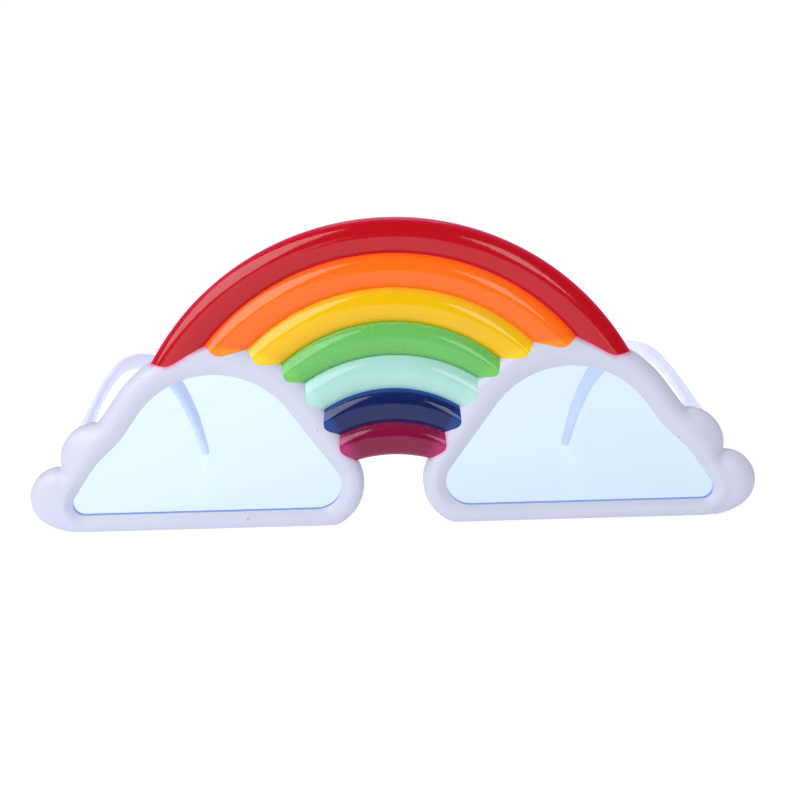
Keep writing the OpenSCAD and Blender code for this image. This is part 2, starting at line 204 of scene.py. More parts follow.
def new_material(name):
    """A material with only its Principled shader: (material, tree, shader)."""
    material = bpy.data.materials.new(name)
    material.use_nodes = True
    return material, material.node_tree, material.node_tree.nodes["Principled BSDF"]


print("a middle grey, #808080, is", round(linear("#808080")[0], 3), "in linear light")

# %% [markdown]
# ## The outline of a cloud
# Everything on the front follows from the lens opening: a rounded polygon with five corners.
# The rim is the opening's outline pushed outwards, and two puffs are circles at its outer
# corner. So the opening is drawn first. Its flanks are given as angles, and each corner has
# its radius and the width of the rim before and after it.

# %% Sizes of the opening and its rim, in millimetres and degrees
NOSE_GAP = 15.4
SILL = 5.1
BASE_WIDTH = 79.3
BULGE_HEIGHT = 14
WAIST_HEIGHT = 20
FLANKS = {"nose": 54, "temple": 56, "waist": 42.5, "brow": 54.5}
NOSE_CORNER = 6.5
TEMPLE_CORNER = 3.1
WAIST_RADIUS = 20
DOME_RADIUS = 23.9
NOSE_RIM = 6.0
BROW_RIM = 7.2
INNER_RIM = 8.2


def slope(name):
    """How much a flank rises for each millimetre sideways."""
    return math.tan(math.radians(FLANKS[name]))


corner_bite = NOSE_CORNER * (1 / math.tan(math.radians(FLANKS["nose"] / 2)) - 1)
nose_low = np.array([NOSE_GAP / 2 + NOSE_RIM - corner_bite, SILL])
temple_low = nose_low + [BASE_WIDTH, 0]
bulge = temple_low + BULGE_HEIGHT * np.array([-1 / slope("temple"), 1])
waist = bulge + (WAIST_HEIGHT - BULGE_HEIGHT) * np.array([-1 / slope("waist"), 1])
peak_x = (waist[1] - nose_low[1] + slope("brow") * waist[0] + slope("nose") * nose_low[0])
peak_x /= slope("nose") + slope("brow")
peak = np.array([peak_x, nose_low[1] + slope("nose") * (peak_x - nose_low[0])])
corners = [
    (nose_low, NOSE_CORNER, NOSE_RIM, NOSE_RIM),
    (temple_low, TEMPLE_CORNER, SILL, SILL),
    (bulge, WAIST_RADIUS, BROW_RIM, BROW_RIM),
    (waist, WAIST_RADIUS, BROW_RIM, BROW_RIM),
    (peak, DOME_RADIUS, BROW_RIM, INNER_RIM),
]
print("corners:", [tuple(round(float(v), 1) for v in corner[0]) for corner in corners])

# %% [markdown]
# The corners become arcs, and the outline becomes stations: a point, the direction that looks
# out of the opening there, and the width of the rim. On an arc the direction fans out, and on
# a straight stretch it stays.

# %% Corners to arcs, and arcs to stations
STATION_STEP = 0.7
FAN_DEGREES = 2.5


def heading(degrees):
    """The direction at an angle, as x and z."""
    return np.array([math.cos(math.radians(degrees)), math.sin(math.radians(degrees))])


def arc_at(i):
    """The arc at a corner: centre, first angle, turn, signed radius and the two rim widths."""
    point, radius, rim_start, rim_end = corners[i]
    come = point - corners[i - 1][0]
    leave = corners[(i + 1) % len(corners)][0] - point
    come, leave = come / np.linalg.norm(come), leave / np.linalg.norm(leave)
    turn = math.degrees(math.atan2(come[0] * leave[1] - come[1] * leave[0], come @ leave))
    side = 1 if turn > 0 else -1
    inset = radius * math.tan(math.radians(abs(turn) / 2))
    centre = point - inset * come + side * radius * np.array([-come[1], come[0]])
    first = math.degrees(math.atan2(-come[0], come[1]))
    return centre, first, turn, side * radius, rim_start, rim_end


def stations():
    """Rows of x, z, outward x, outward z and rim width, all round the opening."""
    rows = []
    for i, (centre, first, turn, radius, rim_a, rim_b) in enumerate(arcs):
        steps = max(math.ceil(abs(turn) / FAN_DEGREES),
                    math.ceil(abs(radius * math.radians(turn)) / STATION_STEP))
        for k in range(steps + 1):
            out = heading(first + turn * k / steps)
            rows.append([*(centre + radius * out), *out, mix(rim_a, rim_b, k / steps)])
        ahead = arcs[(i + 1) % len(arcs)]
        end, rim_end = ahead[0] + ahead[3] * heading(ahead[1]), ahead[4]
        start = np.array(rows[-1])
        length = np.linalg.norm(end - start[:2])
        steps = max(1, round(length / STATION_STEP))
        for k in range(1, steps):
            point = mix(start[:2], end, k / steps)
            rows.append([*point, *start[2:4], mix(start[4], rim_end, k / steps)])
    return np.array(rows)


arcs = [arc_at(i) for i in range(len(corners))]
nose_arc, temple_arc = arcs[:2]
opening = stations()
print("opening:", len(opening), "stations, top at", round(opening[:, 1].max(), 2), "mm")

# %% [markdown]
# ## How far the cloud reaches
# The rim is as wide as its stations say, or wider where a puff stands out past it, and it
# never goes below the floor. The low puff sits by the temple corner and the high one by the
# bulge. The low puff runs into the sill over a heel: a wider arc that touches the puff's
# circle and the floor, so that the outline has no notch there.

# %% Reach of the cloud's face
LOW_PUFF_SHIFT, LOW_PUFF_RADIUS = (6.25, 1.3), 8.1
HIGH_PUFF_SHIFT, HIGH_PUFF_RADIUS = (0.2, 0.75), 9.3
HEEL_RADIUS = 18
ALMOST_ZERO = 1e-6
low_puff = temple_arc[0] + LOW_PUFF_SHIFT
high_puff = bulge + HIGH_PUFF_SHIFT
heel_gap = HEEL_RADIUS - LOW_PUFF_RADIUS
heel_fall = low_puff[1] - HEEL_RADIUS
heel_way = np.array([math.sqrt(heel_gap ** 2 - heel_fall ** 2), heel_fall])
heel = low_puff - heel_way


def way_out(point, way, centre, radius):
    """How far each point must go along its way to leave a circle, or 0 where it misses it."""
    rel = point - centre
    b = (rel * way).sum(-1)
    inside = b * b - (rel * rel).sum(-1) + radius * radius
    return np.where(inside > 0, -b + np.sqrt(np.maximum(inside, 0)), 0)


def over_heel(rel):
    """Whether a place, seen from the middle of the low puff, lies on the side of the heel."""
    return (rel[..., 1] < 0) & (heel_way[0] * rel[..., 1] < heel_way[1] * rel[..., 0])


starts, ways = opening[:, :2], opening[:, 2:4]
to_floor = np.where(ways[:, 1] < 0, starts[:, 1] / np.maximum(-ways[:, 1], ALMOST_ZERO), np.inf)
low_reach = way_out(starts, ways, low_puff, LOW_PUFF_RADIUS)
low_reach = np.where(over_heel(starts + low_reach[:, None] * ways - low_puff),
                     way_out(starts, ways, heel, HEEL_RADIUS), low_reach)
high_reach = way_out(starts, ways, high_puff, HIGH_PUFF_RADIUS)
reach = np.minimum(to_floor, np.maximum(opening[:, 4], np.maximum(low_reach, high_reach)))
print("reach of the rim:", round(reach.min(), 2), "to", round(reach.max(), 2), "mm")

# %% [markdown]
# ## How the cloud bulges
# The rim slopes up from the opening to a crest and rounds off at its outer side, and each puff
# is a dome like an inflated ball. Where they meet, the real moulding has a soft crease. A plain
# maximum of the heights would give a hard crease and a sum would give a hump; a power mean with
# a high power lies between them.

# %% Height of the cloud's face
RIM_DOME = 2.9
RIM_CREST = 0.45
RIM_DROP, DROP_POWER = 0.35, 1.3
PUFF_DOME = 3.3
HEEL_SHARE = 1.3
CREASE = 6


def cloud_rise(x, z, out, tube):
    """Height of the cloud's face at x, z, which lies out mm from the opening."""
    slope_up = 1 - RIM_DROP * np.maximum(1 - out / tube / RIM_CREST, 0) ** DROP_POWER
    rim = RIM_DOME * bow(np.maximum(out / tube - RIM_CREST, 0) / (1 - RIM_CREST))
    place = np.stack([x, z], -1)
    from_low = place - low_puff
    away_low = np.linalg.norm(from_low, axis=-1)
    way = from_low / np.maximum(away_low, ALMOST_ZERO)[..., None]
    heel_reach = np.minimum(way_out(low_puff, way, heel, HEEL_RADIUS), HEEL_SHARE * LOW_PUFF_RADIUS)
    away_low = away_low / np.where(over_heel(from_low), heel_reach, LOW_PUFF_RADIUS)
    away_high = np.linalg.norm(place - high_puff, axis=-1) / HIGH_PUFF_RADIUS
    puffs = [PUFF_DOME * bow(np.minimum(away, 1)) for away in (away_low, away_high)]
    return slope_up * (rim ** CREASE + puffs[0] ** CREASE + puffs[1] ** CREASE) ** (1 / CREASE)


puff_top = cloud_rise(np.array(high_puff[0]), np.array(high_puff[1]), BROW_RIM / 2, BROW_RIM)
print("the high puff stands", round(float(puff_top), 2), "mm over the back of the face")

# %% [markdown]
# ## The cloud's shell
# One closed section goes round at each station: over the face, down the outer wall, along the
# back and up the opening's wall. Lofting the sections round the opening gives the whole rim.
# Points crowd at both edges of the face, where it curves most.
#
# The lens sits in a groove close to the face. It runs into the opening's wall, so the groove
# itself needs no faces here. Behind the lens the wall leans back to its round rear edge.
# Seen through the lens, a straight wall would draw a broad dark line along the sill.

# %% Loft a cloud
RIM_BACK = 2.6
BACK_ROUND = 0.5
BACK_LEAN = 0.72
LENS_FACE = -1.0
LENS_BACK = 0.15
FACE_STEPS = 34
ROUND_STEPS = 5


def cloud_section(station, width):
    """One closed ring of points across the rim."""
    x, z, nx, nz = station[:4]
    share = (1 - np.cos(np.linspace(math.pi, 0, FACE_STEPS))) / 2
    out = width * share
    rise = cloud_rise(x + out * nx, z + out * nz, out, min(width, station[4]))
    turn = np.linspace(0, math.pi / 2, ROUND_STEPS)
    round_in, round_out = BACK_ROUND * (1 - np.cos(turn)), BACK_ROUND * (1 - np.sin(turn))
    wall = [
        (np.zeros(2), np.array([LENS_FACE, LENS_BACK])),
        (BACK_LEAN + round_in, RIM_BACK - round_out),
        (width - round_out, RIM_BACK - round_in),
    ]
    out = np.concatenate([out] + [w[0] for w in wall])
    back = np.concatenate([-rise] + [w[1] for w in wall])
    return np.stack([x + out * nx, back, z + out * nz], 1)


cloud = loft([cloud_section(s, w) for s, w in zip(opening, reach)], closed=True)
print("cloud:", len(cloud[1]), "faces")

# %% [markdown]
# ## Where the rainbow meets a cloud
# The eight edges of the seven bands are circles about centres on the middle line. Each one
# runs down until it meets the cloud's outline: on the dome, on the straight rim beside the
# nose, or on the round corner under it. The same rule, with the outline drawn in, says how far
# the bands and the plate behind them lap over the rim.

# %% The eight circles, in millimetres
ARCH_HEIGHT = 81.4
BAND_WIDTH = 8.9
SIDE_WIDTH = 9.3
OUTER_RADIUS = 71
INNER_RADII = [40.8, 32, 31, 35]
BANDS = 7
edge_radii = [OUTER_RADIUS - i * SIDE_WIDTH for i in range(4)] + INNER_RADII
edges = [(r, ARCH_HEIGHT - i * BAND_WIDTH - r) for i, r in enumerate(edge_radii)]


def meet_cloud(circle, inset):
    """The least turn from the crown, in radians, that reaches the outline drawn in by inset."""
    outline = opening[:, :2] + (opening[:, 4:5] - inset) * opening[:, 2:4]
    outline = np.vstack([outline, outline[:1]])
    gaps = np.hypot(outline[:, 0], outline[:, 1] - circle[1]) - circle[0]
    here = np.nonzero(gaps[:-1] * gaps[1:] < 0)[0]
    share = gaps[here] / (gaps[here] - gaps[here + 1])
    x, z = mix(outline[here], outline[here + 1], share[:, None]).T
    return np.arctan2(x, z - circle[1]).min()


print("the edges meet the cloud at, degrees:", [round(math.degrees(meet_cloud(e, 0))) for e in edges])

# %% [markdown]
# ## White moulding
# The shell is ABS, moulded glossy in white with a cool, slightly lavender cast. It is a little
# see-through at thin edges, so a trace of subsurface light softens its shading. Tiny red
# specks of spray lie on it, drawn as a sparse cell pattern, and the surface has a faint ripple
# from the mould.

# %% Moulded white ABS
SPECK_SPACING = 7.5
SPECK_SIZE = 0.045
SPECK_STRENGTH = 0.55
TONE_PATCH = 16.7
RIPPLE_SIZE = 2.86


def moulded_white(name, colour, see_through):
    """White ABS with a cloudy tone, sparse red specks and a faint ripple."""
    material, tree, shader = new_material(name)
    place = add(tree, "ShaderNodeTexCoord").outputs["Object"]
    cloudy = add(tree, "ShaderNodeTexNoise", {
        "Vector": place, "Scale": 1 / (TONE_PATCH * MM), "Detail": 3.0})
    tone = add(tree, "ShaderNodeMixRGB", {
        "Fac": cloudy.outputs["Fac"], "Color1": linear(colour), "Color2": linear("#C4C7D9")})
    cells = add(tree, "ShaderNodeTexVoronoi", {
        "Vector": place, "Scale": 1 / (SPECK_SPACING * MM), "Randomness": 1.0})
    speck = add(tree, "ShaderNodeMath", {0: cells.outputs["Distance"], 1: SPECK_SIZE},
                operation="LESS_THAN")
    faint = add(tree, "ShaderNodeMath", {0: speck.outputs[0], 1: SPECK_STRENGTH}, operation="MULTIPLY")
    speckled = add(tree, "ShaderNodeMixRGB", {
        "Fac": faint.outputs[0], "Color1": tone.outputs[0], "Color2": linear("#D8556E")})
    tree.links.new(speckled.outputs[0], shader.inputs["Base Color"])
    shader.inputs["Roughness"].default_value = 0.33
    shader.inputs["IOR"].default_value = 1.53
    shader.inputs["Subsurface Weight"].default_value = see_through
    shader.inputs["Subsurface Radius"].default_value = (1.0, 0.9, 1.1)
    shader.inputs["Subsurface Scale"].default_value = 1.5 * MM
    ripple = add(tree, "ShaderNodeTexNoise", {
        "Vector": place, "Scale": 1 / (RIPPLE_SIZE * MM), "Detail": 2.0})
    bump = add(tree, "ShaderNodeBump", {
        "Height": ripple.outputs["Fac"], "Strength": 0.05, "Distance": 0.2 * MM})
    tree.links.new(bump.outputs[0], shader.inputs["Normal"])
    return material


shell_white = moulded_white("white_abs_moulded", "#BEC1D4", see_through=0.12)
arm_white = moulded_white("white_abs_arm", "#E6EAFF", see_through=0.4)
print("white:", shell_white.name, "and", arm_white.name)

# %% [markdown]
# The white isn't the same everywhere. The colours were sprayed through masks, so red and
# magenta drifted onto it as a pink haze beside their bands. The wall beside a lens gets
# painted light: a blue tint and a blue glow stand for the light that comes through the lens,
# where the wall would otherwise lie in shade. Both follow the shape and not a pattern, so
# each is read from an attribute on the points, which is filled in when the front is made.
#
# Light from behind also comes through thin white plastic. To follow it through a lens or an
# arm takes many bounces, so a faint glow of their own, painted light, stands for it.

# %% Haze, and the painted light: blue wall and glow
PAINTED_LENS_LIGHT = "#6F96E6"
PAINTED_WALL_GLOW = 0.5
PAINTED_ARM_GLOW = 0.22


def tint_where(material, attribute, tint):
    """Tints a material where an attribute of the mesh says so, and returns its socket."""
    tree = material.node_tree
    base = tree.nodes["Principled BSDF"].inputs["Base Color"]
    there = add(tree, "ShaderNodeAttribute", attribute_name=attribute).outputs["Fac"]
    tinted = add(tree, "ShaderNodeMixRGB", {
        "Fac": there, "Color1": base.links[0].from_socket, "Color2": linear(tint)})
    tree.links.new(tinted.outputs[0], base)
    return there


tint_where(shell_white, "haze", "#E0447F")
# painted light: the wall beside the lens is tinted blue and glows, standing for light through the lens
# onto a shaded wall
beside_lens = tint_where(shell_white, "lens_wall", PAINTED_LENS_LIGHT)
shell_tree = shell_white.node_tree
shell_shader = shell_tree.nodes["Principled BSDF"]
wall_light = add(shell_tree, "ShaderNodeMath", {0: beside_lens, 1: PAINTED_WALL_GLOW}, operation="MULTIPLY")
shell_tree.links.new(wall_light.outputs[0], shell_shader.inputs["Emission Strength"])
shell_shader.inputs["Emission Color"].default_value = linear(PAINTED_LENS_LIGHT)
# painted light: the arms glow faintly, standing for light that comes through the thin plastic
arm_shader = arm_white.node_tree.nodes["Principled BSDF"]
arm_shader.inputs["Emission Color"].default_value = linear("#D0DAFF")
arm_shader.inputs["Emission Strength"].default_value = PAINTED_ARM_GLOW
print("the shell's tree has", len(shell_tree.nodes), "nodes")

# %% [markdown]
# ## Back plate, pads and hinge seats
# Behind the bands the moulding is a plain plate. It follows the same eight circles, so its
# grid is the rainbow's own: across from the outer edge to the inner one, and along from cloud
# to cloud. Its face lies a hair behind the bands' flat undersides, and its rear edges are
# rounded a little.

# %% The plate behind the rainbow
PLATE_T = 2.2
PLATE_INSET = 3.3
PLATE_STEPS = 120
PLATE_LINES = 28
PLATE_FACE = 0.02
EDGE_ROUND = 0.4
EDGE_MARGIN = 0.2


def rainbow_circle(q):
    """The circle at q, counted in bands from the outer edge inwards."""
    i = min(int(q), BANDS - 1)
    return mix(np.array(edges[i]), np.array(edges[i + 1]), q - i)


def plate_shell():
    """The plate as rings across it, from one cloud to the other."""
    turn = np.linspace(0, math.pi / 2, ROUND_STEPS)
    rounded = EDGE_ROUND * (1 - np.cos(turn)) / BAND_WIDTH
    between = np.linspace(EDGE_MARGIN, BANDS - EDGE_MARGIN, PLATE_LINES)
    spread = np.concatenate([rounded, between, BANDS - rounded[::-1]])
    depth_in = np.minimum(np.minimum(spread, BANDS - spread) * BAND_WIDTH / EDGE_ROUND, 1)
    behind = PLATE_T - EDGE_ROUND * (1 - bow(1 - depth_in))
    circles = np.array([rainbow_circle(q) for q in spread])
    turns = np.array([meet_cloud(c, PLATE_INSET) for c in circles])
    rings = []
    for share in np.linspace(-1, 1, PLATE_STEPS):
        x = circles[:, 0] * np.sin(turns * share)
        z = circles[:, 1] + circles[:, 0] * np.cos(turns * share)
        near = np.stack([x, np.full(len(x), PLATE_FACE), z], 1)
        far = np.stack([x, behind, z], 1)
        rings.append(np.concatenate([near, far[::-1]]))
    return loft(rings)


plate = plate_shell()
print("plate:", len(plate[1]), "faces")

# %% [markdown]
# Small pads behind the rims rest on the nose. Each is a bean: rings that grow and shrink along
# a bend, packed closer at its ends, where it curves most.

# %% Nose pads
PAD_HALF_WIDTH = 1.7
PAD_REACH = 3.4
PAD_TURNS = (198, 146)
PAD_TIP = 0.02
PAD_FULLNESS = 0.8
PAD_SIDES, PAD_RINGS = 28, 33


def pad_shell():
    """A smooth bean behind the rim, following its bend beside the nose."""
    rings = []
    round_turn = np.linspace(0, 2 * math.pi, PAD_SIDES, endpoint=False)
    for share in np.linspace(-1, 1, PAD_RINGS):
        t = math.sin(share * math.pi / 2)
        normal = heading(mix(PAD_TURNS[0], PAD_TURNS[1], (t + 1) / 2))
        centre = nose_arc[0] + (nose_arc[3] + NOSE_RIM / 2) * normal
        size = max(PAD_TIP, float(bow(t)))
        out = PAD_HALF_WIDTH * size * np.cos(round_turn)
        back = RIM_BACK + PAD_REACH * size ** PAD_FULLNESS * np.sin(round_turn)
        rings.append(np.stack([centre[0] + out * normal[0], back, centre[1] + out * normal[1]], 1))
    return loft(rings)


pad = pad_shell()
print("pad:", len(pad[1]), "faces")

# %% [markdown]
# A raised seat behind each high puff takes the hinge. Its width is measured on the model's own
# hinge leaf and arm. It is a low block with round corners, and the last rings draw in a little
# for a soft edge.

# %% Hinge seats
SEAT_T = 1.0
SEAT_ROUND = 1.2
SEAT_SINK = 0.3
SEAT_HALF_HEIGHT = 2.4
SEAT_EDGES = [(0, 0.35), (0.08, 0.15), (0.28, 0.05)]
SEAT_SIDES = 48
LEAF_MARGIN, ARM_OVERHANG = 0.4, 0.9
leaf_x, arm_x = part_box("hinge_front_right")[0].x / MM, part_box("temple_right")[1].x / MM
seat_low = np.array([leaf_x - LEAF_MARGIN, hinge_z - SEAT_HALF_HEIGHT])
seat_high = np.array([arm_x - ARM_OVERHANG, hinge_z + SEAT_HALF_HEIGHT])


def seat_shell():
    """The raised seat for the hinge, sunk a little into the rim's back."""
    turn = np.linspace(0, 2 * math.pi, SEAT_SIDES, endpoint=False)
    middle, half = (seat_low + seat_high) / 2, (seat_high - seat_low) / 2
    levels = [(0, RIM_BACK - SEAT_SINK)]
    levels += [(inset, RIM_BACK + SEAT_T - drop) for inset, drop in SEAT_EDGES]
    rings = []
    for inset, back in levels:
        bend = SEAT_ROUND - inset
        across = np.sign(np.cos(turn)) * (half[0] - SEAT_ROUND) + bend * np.cos(turn)
        up = np.sign(np.sin(turn)) * (half[1] - SEAT_ROUND) + bend * np.sin(turn)
        rings.append(np.stack([middle[0] + across, np.full(len(turn), back), middle[1] + up], 1))
    return loft(rings)


seat = seat_shell()
print("seat, mm:", np.round(seat_high - seat_low, 2).tolist())

# %% [markdown]
# ## The bands
# A band is a half-round bead bent along an arch. At its ends it runs straight into the rim of
# the cloud, which is just a little taller, so the line where the two meet is a rounded tongue:
# the high middle of the bead reaches far onto the rim, its low sides stop at once. Nobody has
# to draw that line, as long as both shapes are true.
#
# Seven such pieces differ only in their sizes, which is what a Geometry Nodes tree is for. The
# script draws a rail: one point for each flow line of the band, with that line's radius,
# centre, turn and height. The tree lays a grid, looks up each row's line on the rail, bends
# the grid along it and closes it with a flat underside.

# %% A rail for each band
BAND_DOME = 2.7
GROOVE_RISE = 0.65
CROWN_POWER = 0.7
END_INSET = 3.7
FLOW_LINES = 45


def band_rail(i):
    """A line of points with the radius, centre, turn and height of each flow line."""
    across = -np.cos(np.linspace(0, math.pi, FLOW_LINES))
    low, high = np.array(edges[i + 1]), np.array(edges[i])
    circles = [mix(low, high, (1 + a) / 2) for a in across]
    mesh = bpy.data.meshes.new("rail")
    mesh.from_pydata([(a, 0, 0) for a in across], [], [])
    give(mesh, "across", across)
    give(mesh, "radius", [c[0] for c in circles])
    give(mesh, "centre", [c[1] for c in circles])
    give(mesh, "turn", [meet_cloud(c, END_INSET) for c in circles])
    give(mesh, "height", mix(GROOVE_RISE, BAND_DOME, (1 - across ** 2) ** CROWN_POWER))
    return mesh


rails = [band_rail(i) for i in range(BANDS)]
print("rails:", len(rails), "with", FLOW_LINES, "flow lines each")

# %% [markdown]
# The tree starts with its named inputs. The grid's x runs from -1 to 1 across the band, which
# gives the number of the flow line, and Sample Index reads that point of the rail.

# %% The tree's inputs, and what its rail says
BAND_STEPS = 180
TIP_ROUNDNESS = 0.5


def new_band_tree():
    """A tree that has only its named inputs: (tree, the sockets to link from)."""
    tree = bpy.data.node_groups.new("raised_band", "GeometryNodeTree")
    named = {
        "Rail": ("NodeSocketGeometry", None),
        "Flow lines": ("NodeSocketInt", FLOW_LINES),
        "Steps": ("NodeSocketInt", BAND_STEPS),
        "Tip roundness": ("NodeSocketFloat", TIP_ROUNDNESS),
        "Paint": ("NodeSocketMaterial", None),
    }
    for name, (kind, value) in named.items():
        socket = tree.interface.new_socket(name, in_out="INPUT", socket_type=kind)
        if value is not None:
            socket.default_value = value
    tree.interface.new_socket("Band", in_out="OUTPUT", socket_type="NodeSocketGeometry")
    return tree, add(tree, "NodeGroupInput").outputs


def rail_at(tree, given, grid_x):
    """What the rail says at each point of the grid, by name."""
    last = add(tree, "ShaderNodeMath", {0: given["Flow lines"], 1: 1.0}, operation="SUBTRACT")
    half = add(tree, "ShaderNodeMath", {0: grid_x, 1: 0.5, 2: 0.5}, operation="MULTIPLY_ADD")
    count = add(tree, "ShaderNodeMath", {0: half.outputs[0], 1: last.outputs[0]}, operation="MULTIPLY")
    line = add(tree, "ShaderNodeMath", {0: count.outputs[0]}, operation="ROUND").outputs[0]
    rail = {}
    for name in ("across", "radius", "centre", "turn", "height"):
        value = add(tree, "GeometryNodeInputNamedAttribute", {"Name": name}, data_type="FLOAT")
        rail[name] = add(tree, "GeometryNodeSampleIndex", {
            "Geometry": given["Rail"], "Value": value.outputs["Attribute"], "Index": line},
            data_type="FLOAT", domain="POINT").outputs["Value"]
    return rail


raised_band, given = new_band_tree()
print("inputs:", [item.name for item in raised_band.interface.items_tree if item.in_out == "INPUT"])

# %% [markdown]
# The grid's y runs from -1 to 1 along the band. Half of it is swung through a sine, so the
# points crowd towards both ends. Times the line's turn it is an angle on the line's circle.
# What is left to the end, in millimetres, rounds the tip off like a quarter circle.

# %% How the grid bends along the rail
def bent(tree, rail, grid_y):
    """Each point's x and z on its circle, and its distance to the band's end in mm."""
    quarter = add(tree, "ShaderNodeMath", {0: grid_y, 1: math.pi / 2}, operation="MULTIPLY")
    swing = add(tree, "ShaderNodeMath", {0: quarter.outputs[0]}, operation="SINE")
    both = add(tree, "ShaderNodeMath", {0: swing.outputs[0], 1: grid_y}, operation="ADD")
    along = add(tree, "ShaderNodeMath", {0: both.outputs[0], 1: 0.5}, operation="MULTIPLY").outputs[0]
    angle = add(tree, "ShaderNodeMath", {0: rail["turn"], 1: along}, operation="MULTIPLY").outputs[0]
    sine = add(tree, "ShaderNodeMath", {0: angle}, operation="SINE")
    cosine = add(tree, "ShaderNodeMath", {0: angle}, operation="COSINE")
    x = add(tree, "ShaderNodeMath", {0: rail["radius"], 1: sine.outputs[0]}, operation="MULTIPLY")
    z = add(tree, "ShaderNodeMath", {0: rail["radius"], 1: cosine.outputs[0], 2: rail["centre"]},
            operation="MULTIPLY_ADD")
    size = add(tree, "ShaderNodeMath", {0: along}, operation="ABSOLUTE")
    rest = add(tree, "ShaderNodeMath", {0: 1.0, 1: size.outputs[0]}, operation="SUBTRACT")
    reach_mm = add(tree, "ShaderNodeMath", {0: rail["radius"], 1: rail["turn"]}, operation="MULTIPLY")
    tip = add(tree, "ShaderNodeMath", {0: rest.outputs[0], 1: reach_mm.outputs[0]}, operation="MULTIPLY")
    return x.outputs[0], z.outputs[0], tip.outputs[0]


def risen(tree, rail, tip, roundness):
    """Each point's y: its line's height over the plate, rounded off at the band's end."""
    near = add(tree, "ShaderNodeMath", {0: tip, 1: roundness}, operation="DIVIDE", use_clamp=True)
    left = add(tree, "ShaderNodeMath", {0: 1.0, 1: near.outputs[0]}, operation="SUBTRACT")
    square = add(tree, "ShaderNodeMath", {0: left.outputs[0], 1: left.outputs[0]}, operation="MULTIPLY")
    under = add(tree, "ShaderNodeMath", {0: 1.0, 1: square.outputs[0]}, operation="SUBTRACT")
    fade = add(tree, "ShaderNodeMath", {0: under.outputs[0]}, operation="SQRT")
    rise = add(tree, "ShaderNodeMath", {0: rail["height"], 1: fade.outputs[0]}, operation="MULTIPLY")
    front = add(tree, "ShaderNodeMath", {0: rise.outputs[0], 1: -1.0}, operation="MULTIPLY")
    return front.outputs[0]


grid_place = add(raised_band, "ShaderNodeSeparateXYZ", {
    0: add(raised_band, "GeometryNodeInputPosition").outputs[0]})
rail = rail_at(raised_band, given, grid_place.outputs["X"])
x, z, tip = bent(raised_band, rail, grid_place.outputs["Y"])
y = risen(raised_band, rail, tip, given["Tip roundness"])
print("the bend takes", len(raised_band.nodes), "nodes so far")

# %% [markdown]
# The grid is laid twice: once raised and once flat, with its faces turned. Merged along their
# border, the two are one closed shell. Two attributes go with it for the paint: how far across
# the band a point lies, and how far from the band's end.

# %% The band's surface, closed and painted
MERGE_DISTANCE = 0.0001
grid = add(raised_band, "GeometryNodeMeshGrid", {
    "Size X": 2.0, "Size Y": 2.0, "Vertices X": given["Flow lines"], "Vertices Y": given["Steps"]})
surface = grid.outputs["Mesh"]
for name, value in (("across", rail["across"]), ("to_end", tip)):
    surface = add(raised_band, "GeometryNodeStoreNamedAttribute", {
        "Geometry": surface, "Name": name, "Value": value},
        data_type="FLOAT", domain="POINT").outputs[0]
laid = []
for height in (y, 0.0):
    place = add(raised_band, "ShaderNodeCombineXYZ", {"X": x, "Y": height, "Z": z})
    laid.append(add(raised_band, "GeometryNodeSetPosition", {
        "Geometry": surface, "Position": place.outputs[0]}).outputs[0])
turned = add(raised_band, "GeometryNodeFlipFaces", {"Mesh": laid[1]})
both_sides = add(raised_band, "GeometryNodeJoinGeometry", {"Geometry": [laid[0], turned.outputs[0]]})
closed = add(raised_band, "GeometryNodeMergeByDistance", {
    "Geometry": both_sides.outputs[0], "Distance": MERGE_DISTANCE})
real = add(raised_band, "GeometryNodeRealizeInstances", {"Geometry": closed.outputs[0]})
painted = add(raised_band, "GeometryNodeSetMaterial", {
    "Geometry": real.outputs[0], "Material": given["Paint"]})
add(raised_band, "NodeGroupOutput", {"Band": painted.outputs[0]})
print("band tree:", len(raised_band.nodes), "nodes")

# %% [markdown]
# ## Sprayed enamel
# Each band is glossy spray enamel over the white moulding. The colour isn't even: it is a
# little deeper in patches, and other shades lie over each border and over the band's ends.
# At some borders this is a neighbouring colour that drifted over in the spray. Other border
# shades are lighter versions of the band's own colour, such as navy's bright blue edges, and
# these are painted light on the bead's slopes. The brighter shade over the ends is a painted
# highlight on the rounded ends. A fine noise is added to each distance before it is read, so
# every border and end is ragged, as spray lands in droplets. A border is given as two places
# across the band, from -1 to 1: where the other colour begins and where it is full.

# %% Neighbouring colours drift in, with painted light on slopes and ends
MOTTLE_PATCH = 11.1
DEEP_SHARE = 0.9
DROPLET_SIZE = 0.357
OVERSPRAY_AND_LIGHT_STRENGTH = 0.85
UPPER_BORDER, LOWER_BORDER = (0.86, 1.06), (-0.74, -0.92)
RAGGED_BORDER, RAGGED_END = 0.16, 0.5
END_OVERLAP = 0.5


